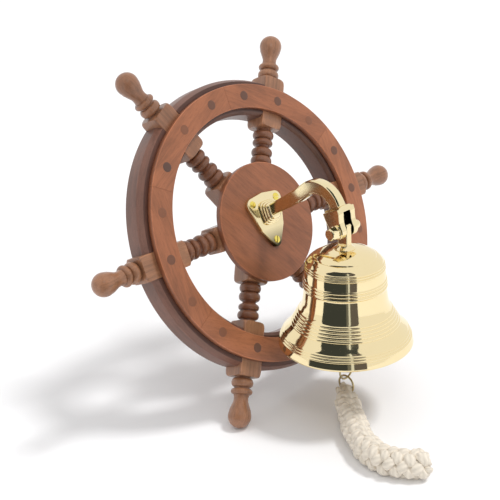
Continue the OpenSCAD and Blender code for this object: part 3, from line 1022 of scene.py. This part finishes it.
    def nut(self):
        """A six-sided nut whose corners are turned down at its end."""
        sections = []
        for x, reach in ((-21.0, 4.6), (-20.7, 5.2), (-20.0, 5.8), (-19.2, 6.2), (-13.0, 6.2),
                         (-12.7, 5.6), (-12.4, 6.35), (-11.0, 6.35)):
            section = []
            for k in range(36):
                a = math.radians(k * 10)
                flat = 5.4 / math.cos((a + math.pi / 6) % (math.pi / 3) - math.pi / 6)
                r = min(reach, flat) if x < -12.6 else reach
                section.append((x * MM, r * MM * math.cos(a), r * MM * math.sin(a)))
            sections.append(section)
        points, faces = swept(sections)
        made = mesh_piece("fork_nut", points, faces)
        outward(made)
        return sharpen(made, 24)


# ----------------------------------------------------------------------- bell


def ribs(start, stop, count, height, steps=6):
    """Round raised rings between two points of the bell's outline."""
    (r0, z0), (r1, z1) = start, stop
    out = []
    for i in range(count):
        for k in range(steps + 1):
            t = (i + 0.06 + 0.88 * k / steps) / count
            out.append((r0 + (r1 - r0) * t + height * math.sin(math.pi * k / steps) ** 0.8,
                        z0 + (z1 - z0) * t))
    return out


def smooth_line(knots, steps):
    """A smooth line through its knots."""
    knots = [np.array(k, float) for k in knots]
    padded = [2 * knots[0] - knots[1]] + knots + [2 * knots[-1] - knots[-2]]
    out = []
    for a, b, c, d in zip(padded, padded[1:], padded[2:], padded[3:]):
        for k in range(steps):
            t = k / steps
            out.append(tuple(0.5 * (2 * b + (c - a) * t + (2 * a - 5 * b + 4 * c - d) * t * t
                                    + (3 * b - a - 3 * c + d) * t ** 3)))
    out.append(tuple(knots[-1]))
    return out


def bell_outline(p):
    h = p.ring_height / MM
    m = p.mouth_radius / MM
    k = m / 64.5
    out = [(4.05, -19), (8, -19), (11, -19.1)]
    out += smooth_line([(11, -19.1), (17.5, -20.2), (23.5, -22), (28.6, -24.6)], 6)[1:]
    out += [(29.3, -25.3), (29.6, -25.9), (30.4, -26.1)]
    out += smooth_line([(30.9, -26.2), (33.4, -28.2), (35.2, -30), (36.2, -31.6)], 5)[1:]
    out += ribs((36.5, -31.9), (37.6, -39.0), 3, h)
    out += [(37.9, -40.5), (38.4, -44), (38.6, -46.6)]
    out += ribs((38.6, -47.2), (39.4, -57), 3, h)
    out += smooth_line([(39.3, -58), (39.9, -64), (41, -71.5), (42.8, -76.6), (43.7, -78.4)], 6)
    out += ribs((43.9, -78.7), (52, -93), 5, h)
    out += smooth_line([(52.6, -93.6), (55.2, -96.4), (58.4, -99.6), (59.6, -101)], 5)[:-1]
    out += ribs((k * 59.6, -101), (k * 63, -107.5), 3, h)
    out += smooth_line([(k * 63.2, -108.2), (k * 63.9, -110.6), (m - 0.05, -112.8)], 4)
    out += [(m, -113.6), (m - 0.15, -114.4), (m - 0.6, -114.9), (m - 1.4, -115)]
    out += [(m - 3, -114.8), (m - 3.6, -114.2)]
    out += smooth_line([(m - 4.2, -112.5), (60 * k - 0.4, -110), (56, -103), (48.6, -93),
                        (41.6, -82), (38.3, -74), (36.5, -66), (35.6, -48), (33.6, -38),
                        (30, -31.5), (24, -26.5), (16, -23.6), (9, -23)], 4)
    out += [(4.05, -23)]
    return [(r * MM, z * MM) for r, z in out]


class SHIPBELL_OT_bell(bpy.types.Operator):
    """Spun bell with its raised rings, its lug, crown nut and clapper eye"""

    bl_idname = "shipbell.bell"
    bl_label = "Bell"

    def execute(self, context):
        p = context.scene.shipbell_bell
        spun = brass("spun_brass", tuple(p.brass_color), 0.07, True, 0.25)
        metal = brass("lug_brass", tuple(p.brass_color), 0.12)
        outline = bell_outline(p)
        points, faces = lathe(outline + outline[:1], 160)
        shell = mesh_piece("bell_shell", points, faces)
        outward(shell, 1e-7)
        shell.data.transform(AT_PIN)
        sharpen(shell, 40)
        dress(shell, BELL, spun, ["bell"])

        tongue = [(-5.7, -17), (-5.7, 4.3), (-4.5, 5.5), (4.5, 5.5), (5.7, 4.3), (5.7, -17)]
        points, faces = prism([(a * MM, b * MM) for a, b in tongue], -3.25 * MM, 3.25 * MM)
        tongue_part = ([(x, y, z) for y, z, x in points], faces)
        foot = lathe([(a * MM, b * MM) for a, b in (
            (0, -19.2), (10, -19.2), (10, -18.4), (9, -17.6), (7.4, -16.4), (6.4, -15),
            (0, -15))], 48)
        stud = lathe([(0, -31 * MM), (4 * MM, -31 * MM), (4 * MM, -18 * MM),
                      (0, -18 * MM)], 32)
        lug = join("lug_cast", [tongue_part, foot, stud])
        outward(lug)
        remeshed(lug, 0.3 * MM, 5)
        lug.data.transform(AT_PIN)
        dress(lug, BELL, metal, ["bell_lug"])
        for name in ("crown_nut", "clapper_eye"):
            paint_node(name, metal)
        return {"FINISHED"}


def torus(major, minor, centre, plane, around=56, across=14):
    """A ring of wire in the XZ or YZ plane."""
    points, faces = [], []
    for i in range(around):
        a = 2 * math.pi * i / around
        for k in range(across):
            b = 2 * math.pi * k / across
            reach = major + minor * math.cos(b)
            flat, side = reach * math.cos(a), minor * math.sin(b)
            if plane == "XZ":
                point = (flat, side, reach * math.sin(a))
            else:
                point = (side, flat, reach * math.sin(a))
            points.append(tuple(np.array(point) + np.array(centre)))
            n, m = (i + 1) % around, (k + 1) % across
            faces.append((i * across + k, n * across + k, n * across + m, i * across + m))
    return points, faces


class SHIPBELL_OT_clapper(bpy.types.Operator):
    """Clapper rod, ball and foot ring"""

    bl_idname = "shipbell.clapper"
    bl_label = "Clapper"

    def execute(self, context):
        p = context.scene.shipbell_bell
        wire = context.scene.shipbell_rope.wire / 2
        dull = brass("clapper_brass", shade(tuple(p.brass_color), 0.62), 0.28, False, 0.9)
        eye_z, tail = EYE_HEIGHT, TAIL_END
        top_ring = torus(5 * MM, 1.4 * MM, (0, 0, eye_z - 5 * MM), "XZ")
        rod = [(0, -48.8 * MM), (2.6 * MM, -49.2 * MM), (2.9 * MM, -50.5 * MM),
               (2.2 * MM, -52.5 * MM), (2.2 * MM, -134.5 * MM)]
        rod += [(3.2 * MM * math.cos(math.radians(a)), tail + 3.2 * MM * math.sin(math.radians(a)))
                for a in range(45, -91, -15)]
        rod[-1] = (0, tail - 3.2 * MM)
        stem = join("clapper_stem", [lathe(rod, 28), top_ring])
        outward(stem)
        stem.data.transform(AT_PIN)
        sharpen(stem, 40)
        dress(stem, CLAPPER, dull, ["clapper_rod"])
        b, middle = p.ball_radius, -95 * MM
        ball = [(2.25 * MM, middle + b + 3 * MM), (3.4 * MM, middle + b + 3 * MM),
                (4.4 * MM, middle + b + 0.6 * MM)]
        ball += [(b * math.cos(math.radians(a)), middle + b * math.sin(math.radians(a)))
                 for a in range(70, -71, -7)]
        ball += [(4.4 * MM, middle - b - 0.6 * MM), (3.4 * MM, middle - b - 3 * MM),
                 (2.25 * MM, middle - b - 3 * MM)]
        weight = mesh_piece("clapper_weight", *lathe(ball + ball[:1], 56))
        outward(weight)
        weight.data.transform(AT_PIN)
        sharpen(weight, 40)
        dress(weight, CLAPPER, dull, ["clapper_ball"])
        foot = mesh_piece("foot_ring", *torus(
            FOOT_RING, wire, (0, 0, tail - FOOT_RING), "XZ"))
        outward(foot)
        foot.data.transform(AT_PIN)
        dress(foot, CLAPPER, dull, ["clapper_ring"])
        return {"FINISHED"}


# ----------------------------------------------------------------------- rope

ROUTE = [(0, -133, -136), (-3, -136.5, -138.5), (-8, -142, -141), (-15, -149.5, -143),
         (-23, -159, -144.2), (-31, -169, -144.5), (-39, -179.5, -144.5),
         (-46.5, -189.5, -144.5), (-53, -199.5, -144.5), (-58.5, -209.5, -144.5),
         (-62, -219.5, -144.5), (-63.5, -229, -144.5), (-62.8, -238.5, -144.5),
         (-60, -247, -144.5), (-55.5, -254.5, -144.5), (-49.5, -261, -144.5),
         (-42.5, -266, -144.5)]


def path_frames(line):
    """Heading, side and rise at each point of a line, turned as little as possible."""
    line = [np.array(p, float) for p in line]
    headings = []
    for i in range(len(line)):
        along = line[min(i + 1, len(line) - 1)] - line[max(i - 1, 0)]
        headings.append(along / np.linalg.norm(along))
    side = np.cross(headings[0], (0, 0, 1.0))
    side /= np.linalg.norm(side)
    frames = []
    for heading in headings:
        side = side - heading * side.dot(heading)
        side /= np.linalg.norm(side)
        frames.append((heading, side, np.cross(side, heading)))
    return line, frames


def tube(line, radius, sides):
    """A closed tube along a line, with flat ends."""
    line, frames = path_frames(line)
    sections = []
    for here, (_, side, rise) in zip(line, frames):
        sections.append([
            here + radius * (math.cos(2 * math.pi * k / sides) * side
                             + math.sin(2 * math.pi * k / sides) * rise)
            for k in range(sides)])
    return swept(sections)


def strand_skin(centres, outs, scales, wide, thick, sides, way):
    """A flattened strand of four yarns along its centres, its thin side towards out."""
    sections = []
    for i, (here, out, scale) in enumerate(zip(centres, outs, scales)):
        along = centres[min(i + 1, len(centres) - 1)] - centres[max(i - 1, 0)]
        along /= np.linalg.norm(along)
        out = out - along * out.dot(along)
        out /= np.linalg.norm(out)
        across = np.cross(along, out)
        section = []
        for k in range(sides):
            a = 2 * math.pi * k / sides
            yarn = 1 + 0.075 * math.cos(6 * a + way * 0.22 * i)
            section.append(here + scale * yarn * (wide * math.cos(a) * across
                                                  + thick * math.sin(a) * out))
        sections.append(section)
    return swept(sections)


class SHIPBELL_OT_rope(bpy.types.Operator):
    """Plaited cotton rope and its ring"""

    bl_idname = "shipbell.rope"
    bl_label = "Rope"

    def execute(self, context):
        p = context.scene.shipbell_rope
        route = smooth_line([tuple(v * MM for v in point) for point in ROUTE], 10)
        line, frames = path_frames(route)
        steps = np.linalg.norm(np.diff(line, axis=0), axis=1)
        run = np.concatenate([[0], np.cumsum(steps)])
        total = float(run[-1])
        parts, along_values, side_values = [], [], []
        count, sides = 220, 24
        half = p.strands // 2
        pitch = 40 * MM
        wide, thick, lift = 4.3 * MM, 3.5 * MM, 2.3 * MM
        orbit = p.radius + 1.0 * MM - thick - lift
        chance = np.random.default_rng(7)
        for number in range(p.strands):
            way = 1 if number < half else -1
            phase = 2 * math.pi * (number % half) / half + (0 if way > 0 else math.pi / half / 2)
            wander = chance.uniform(0, 2 * math.pi, 4)
            short = chance.uniform(0, 4 * MM)
            centres, outs, scales = [], [], []
            for k in range(count + 1):
                s = (total - short) * k / count
                i = min(int(np.searchsorted(run, s, side="right")) - 1, len(line) - 2)
                t = (s - run[i]) / max(steps[i], 1e-9)
                here = line[i] * (1 - t) + line[i + 1] * t
                _, side, rise = frames[i]
                # The first stretch hangs from the ring, so its sections start level
                level = max(0.0, 1 - s / (18 * MM))
                flat_side = side * (1 - level) + np.array((0.72, -0.69, 0)) * level
                flat_rise = rise * (1 - level) + np.array((0.69, 0.72, 0)) * level
                angle = way * 2 * math.pi * s / pitch + phase + 0.16 * math.sin(
                    s / (13 * MM) + wander[0])
                weave = way * math.cos(half * 2 * math.pi * s / pitch - math.pi / 4)
                neck = 0.80 + 0.20 * min(1.0, s / (10 * MM))
                flare = 1 + 0.10 * max(0.0, s / total - 0.55) / 0.45
                loose = 1 + 0.05 * math.sin(s / (9 * MM) + wander[1])
                out = math.cos(angle) * flat_side + math.sin(angle) * flat_rise
                reach = (orbit + weave * lift) * neck * flare * loose
                centres.append(here + reach * out)
                outs.append(out)
                end = min(1.0, min(s + 1.5 * MM, total - short - s + 1.2 * MM) / (4 * MM))
                plump = 1 + 0.07 * math.sin(s / (7 * MM) + wander[2])
                puff = 1 + 0.10 * weave
                scales.append(neck * plump * puff * math.sqrt(max(end, 0.05)))
            parts.append(strand_skin(centres, outs, scales, wide, thick, sides, way))
            points = len(parts[-1][0])
            along_values.append([total * (n // sides) / count for n in range(points)])
            side_values.append([(n % sides) / sides for n in range(points)])
        core = [route[i] for i in range(2, len(route) - 6, 3)]
        core_sides = 14
        parts.append(tube(core, orbit * 0.8, core_sides))
        for values in (along_values, side_values):
            values.append([0.0] * (core_sides * len(core)))
        rope = join("plaited_rope", parts, {"along": along_values, "across": side_values})
        outward(rope, 1e-8)
        cotton = self.cotton(tuple(p.cotton_color))
        wire = p.wire / 2
        linked = 2.3 * MM
        low = TAIL_END - 3 * FOOT_RING + linked
        ring = mesh_piece("rope_ring", *torus(FOOT_RING, wire, (0, 0, low), "YZ"))
        outward(ring)
        ring.data.transform(AT_PIN)
        bell = context.scene.shipbell_bell
        dull = brass("ring_brass", shade(tuple(bell.brass_color), 0.66), 0.22, False, 0.8)
        dress(ring, ROPE, dull, ["lanyard_ring"])
        dress(rope, ROPE, cotton, ["lanyard"])
        return {"FINISHED"}

    def cotton(self, color):
        m = Maker("cotton_rope", color)
        along, across = m.number("along"), m.number("across")
        where = m.place()
        yarn = ((along * 420 + across * 5).fraction() - 0.5).size() * 2
        fuzz = m.noise(where, 1500, 3, 0.6)
        cloud = m.noise(where, 120, 3, 0.5)
        shadow = m.mix(0.55 * yarn, color, shade(color, 0.62))
        tinted = m.mix(cloud * 0.5, shadow, shade(color, 0.86))
        m.surface(Base_Color=tinted, Roughness=0.92, Sheen_Weight=0.25, Sheen_Roughness=0.5)
        m.bump((1 - yarn) * 0.7 + fuzz * 0.4, 0.0006, 0.8)
        return m.material


# ---------------------------------------------------------------------- stage


class SHIPBELL_OT_stage(bpy.types.Operator):
    """Camera, floor and lights"""

    bl_idname = "shipbell.stage"
    bl_label = "Stage"

    def execute(self, context):
        scene = context.scene
        scene.view_settings.view_transform = "Standard"
        p = scene.shipbell_stage
        azimuth, elevation, roll = (math.radians(v) for v in (-43.76, 22.37, -2.68))
        back = Vector((math.sin(azimuth) * math.cos(elevation),
                       -math.cos(azimuth) * math.cos(elevation), math.sin(elevation)))
        right = (-back).cross(Vector((0, 0, 1))).normalized()
        up = right.cross(-back)
        turned_right = math.cos(roll) * right + math.sin(roll) * up
        turned_up = -math.sin(roll) * right + math.cos(roll) * up
        camera = bpy.data.objects.new("camera", bpy.data.cameras.new("camera"))
        scene.collection.objects.link(camera)
        camera.data.lens = 81.26
        camera.data.sensor_width = 36
        camera.data.clip_end = 30
        spot = Vector((-0.7332, -0.7736, 0.4132))
        camera.matrix_world = Matrix((
            (turned_right.x, turned_up.x, back.x, spot.x),
            (turned_right.y, turned_up.y, back.y, spot.y),
            (turned_right.z, turned_up.z, back.z, spot.z), (0, 0, 0, 1)))
        scene.camera = camera

        half = p.floor_size / 2
        cells = 8
        grid = [(-half + 2 * half * i / cells, -half + 2 * half * j / cells, TABLE)
                for j in range(cells + 1) for i in range(cells + 1)]
        faces = [(j * (cells + 1) + i, j * (cells + 1) + i + 1,
                  (j + 1) * (cells + 1) + i + 1, (j + 1) * (cells + 1) + i)
                 for j in range(cells) for i in range(cells)]
        floor = mesh_piece("floor", grid, faces, False)
        paint = Maker("floor_paint", tuple(p.floor_color))
        paint.surface(Base_Color=tuple(p.floor_color), Roughness=0.7,
                      Specular_IOR_Level=0.2)
        floor.data.materials.append(paint.material)
        self.room(scene)
        self.reflections(azimuth)
        sun = bpy.data.objects.new("key", bpy.data.lights.new("key", "SUN"))
        scene.collection.objects.link(sun)
        sun.data.energy = 1.5
        sun.data.angle = math.radians(12)
        sun.visible_glossy = False
        sun.rotation_mode = "QUATERNION"
        sun.rotation_quaternion = Vector((-0.34, 0.30, -0.89)).to_track_quat("-Z", "Y")
        self.lamp("spark", (-0.60, -0.90, 1.15), (0, -0.1, 0), 0.28, 1.3)
        return {"FINISHED"}

    def lamp(self, name, place, target, size, power):
        light = bpy.data.lights.new(name, "AREA")
        light.shape, light.size, light.energy = "DISK", size, power
        made = bpy.data.objects.new(name, light)
        bpy.context.scene.collection.objects.link(made)
        made.location = place
        aim = Vector(target) - Vector(place)
        made.rotation_mode = "QUATERNION"
        made.rotation_quaternion = aim.to_track_quat("-Z", "Y")
        return made

    def room(self, scene):
        """A pale room all round."""
        world = bpy.data.worlds.new("room")
        scene.world = world
        world.use_nodes = True
        tree = world.node_tree
        background = tree.nodes["Background"]
        background.inputs["Color"].default_value = (1.0, 0.995, 0.99, 1)
        rays = tree.nodes.new("ShaderNodeLightPath")
        seen = tree.nodes.new("ShaderNodeMath")
        seen.operation = "MAXIMUM"
        tree.links.new(rays.outputs["Is Camera Ray"], seen.inputs[0])
        tree.links.new(rays.outputs["Is Glossy Ray"], seen.inputs[1])
        strength = tree.nodes.new("ShaderNodeMath")
        strength.operation = "MULTIPLY_ADD"
        tree.links.new(seen.outputs[0], strength.inputs[0])
        strength.inputs[1].default_value = 0.18
        strength.inputs[2].default_value = 0.78
        tree.links.new(strength.outputs[0], background.inputs["Strength"])

    def reflections(self, azimuth):
        """Painted reflection for the bell: a dark screen before it with glowing pale streaks; only
        glossy rays see them.
        """
        centre = Vector((0, PIN.y, 0))
        radius = 0.30

        def screen(name, left, right, low, high, color, reach, arched=0.0):
            count = 24
            points = []
            for level in (0, 1):
                for k in range(count + 1):
                    t = -1 + 2 * k / count
                    a = azimuth + math.radians(left + (right - left) * k / count)
                    top = high - arched * (1 - (1 - abs(t) ** 3) ** (1 / 3))
                    points.append((centre.x + reach * math.sin(a),
                                   centre.y - reach * math.cos(a), top if level else low))
            faces = [(k, k + 1, count + 2 + k, count + 1 + k) for k in range(count)]
            made = mesh_piece(name, points, faces, False)
            paint = Maker(name + "_paint", color)
            paint.surface(Base_Color=(0, 0, 0), Roughness=1.0, Specular_IOR_Level=0.0,
                          Emission_Color=color, Emission_Strength=1.0)
            made.data.materials.append(paint.material)
            made.visible_camera = False
            made.visible_diffuse = False
            made.visible_shadow = False
            made.visible_transmission = False
            made.visible_volume_scatter = False

        base = TABLE + 0.001
        # The dark and grey screens are a painted reflection of a dark room; the streaks glow as a
        # painted highlight.
        screen("dark_screen", -61, 25, base, 0.62, (0.048, 0.056, 0.062), radius, 0.33)
        screen("grey_screen", 7, 25, base, 0.30, (0.13, 0.12, 0.13), radius - 0.002, 0.1)
        screen("streak_wide", -3, 7, base, 0.34, (0.16, 0.17, 0.17), radius - 0.004)
        screen("streak", 2.2, 6.2, base, 0.36, (0.75, 0.80, 0.85), radius - 0.006)


# -------------------------------------------------------------------- add-on


class SHIPBELL_PT_panel(bpy.types.Panel):
    bl_idname = "SHIPBELL_PT_panel"
    bl_label = "Ship bell"
    bl_space_type = "VIEW_3D"
    bl_region_type = "UI"
    bl_category = "Ship bell"

    def draw(self, context):
        column = self.layout.column()
        for name in ("wheel", "bell", "rope", "stage"):
            group = getattr(context.scene, "shipbell_" + name)
            box = column.box()
            for key in group.__annotations__:
                box.prop(group, key)
        for operator in OPERATORS:
            column.operator(operator.bl_idname)


OPERATORS = (SHIPBELL_OT_stage, SHIPBELL_OT_rope, SHIPBELL_OT_wheel, SHIPBELL_OT_hub,
             SHIPBELL_OT_bracket, SHIPBELL_OT_bell, SHIPBELL_OT_clapper)
GROUPS = {"shipbell_wheel": WheelProps, "shipbell_bell": BellProps,
          "shipbell_rope": RopeProps, "shipbell_stage": StageProps}


def register():
    for group in GROUPS.values():
        bpy.utils.register_class(group)
    for name, group in GROUPS.items():
        setattr(bpy.types.Scene, name, PointerProperty(type=group))
    for operator in OPERATORS:
        bpy.utils.register_class(operator)
    bpy.utils.register_class(SHIPBELL_PT_panel)


def unregister():
    bpy.utils.unregister_class(SHIPBELL_PT_panel)
    for operator in reversed(OPERATORS):
        bpy.utils.unregister_class(operator)
    for name, group in reversed(list(GROUPS.items())):
        delattr(bpy.types.Scene, name)
        bpy.utils.unregister_class(group)


def main():
    register()
    bpy.ops.shipbell.stage()
    bpy.ops.shipbell.rope()
    bpy.ops.shipbell.wheel()
    bpy.ops.shipbell.hub()
    bpy.ops.shipbell.bracket()
    bpy.ops.shipbell.bell()
    bpy.ops.shipbell.clapper()


if __name__ == "__main__":
    main()
